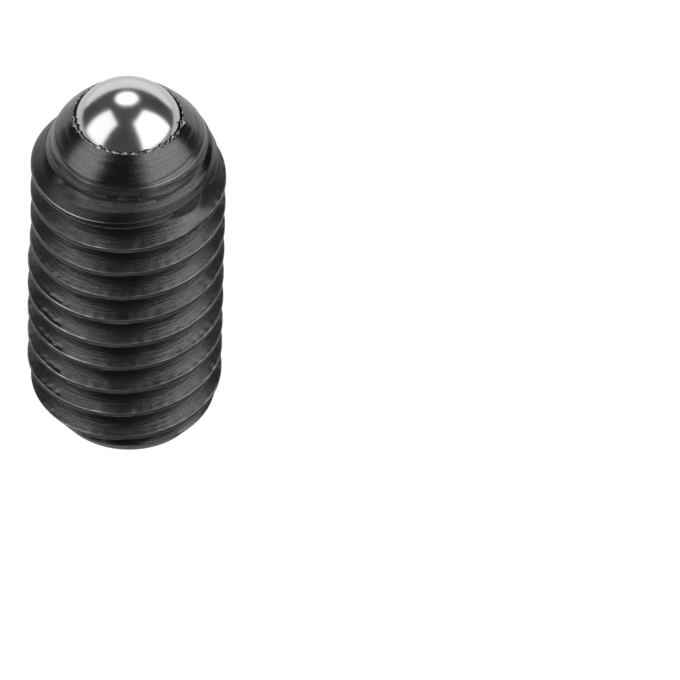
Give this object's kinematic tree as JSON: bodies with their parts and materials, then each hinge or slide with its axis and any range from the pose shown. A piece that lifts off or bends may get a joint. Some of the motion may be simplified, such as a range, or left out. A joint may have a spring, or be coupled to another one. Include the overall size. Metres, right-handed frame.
{
  "type": "ball spring plunger",
  "caption": "Threaded steel sleeve with a rounded nose, a sprung steel ball held under its rolled rim, and a hexagon drive socket in the other end.",
  "frame": {"origin": "centre of the flat ring at the socket end, which the plunger stands on", "axes": "+Z along the thread's axis, from the socket end to the ball"},
  "size_m": [0.006, 0.006, 0.013],
  "materials": {
    "black_steel": "black oxide, satin, with worn thread crests",
    "spring_wire": "bright drawn wire",
    "bright_steel": "polished hardened steel"
  },
  "bodies": {
    "body": {"threaded_body": "black_steel", "spring": "spring_wire"},
    "ball": {"ball": "bright_steel"}
  },
  "joints": [
    {"name": "ball_travel", "type": "slide", "parent": "body", "child": "ball", "axis": [0, 0, -1], "range_m": [0, 0.001], "stiffness_N_per_m": 6600, "springref_m": -0.0013, "deforming": ["spring"]}
  ]
}
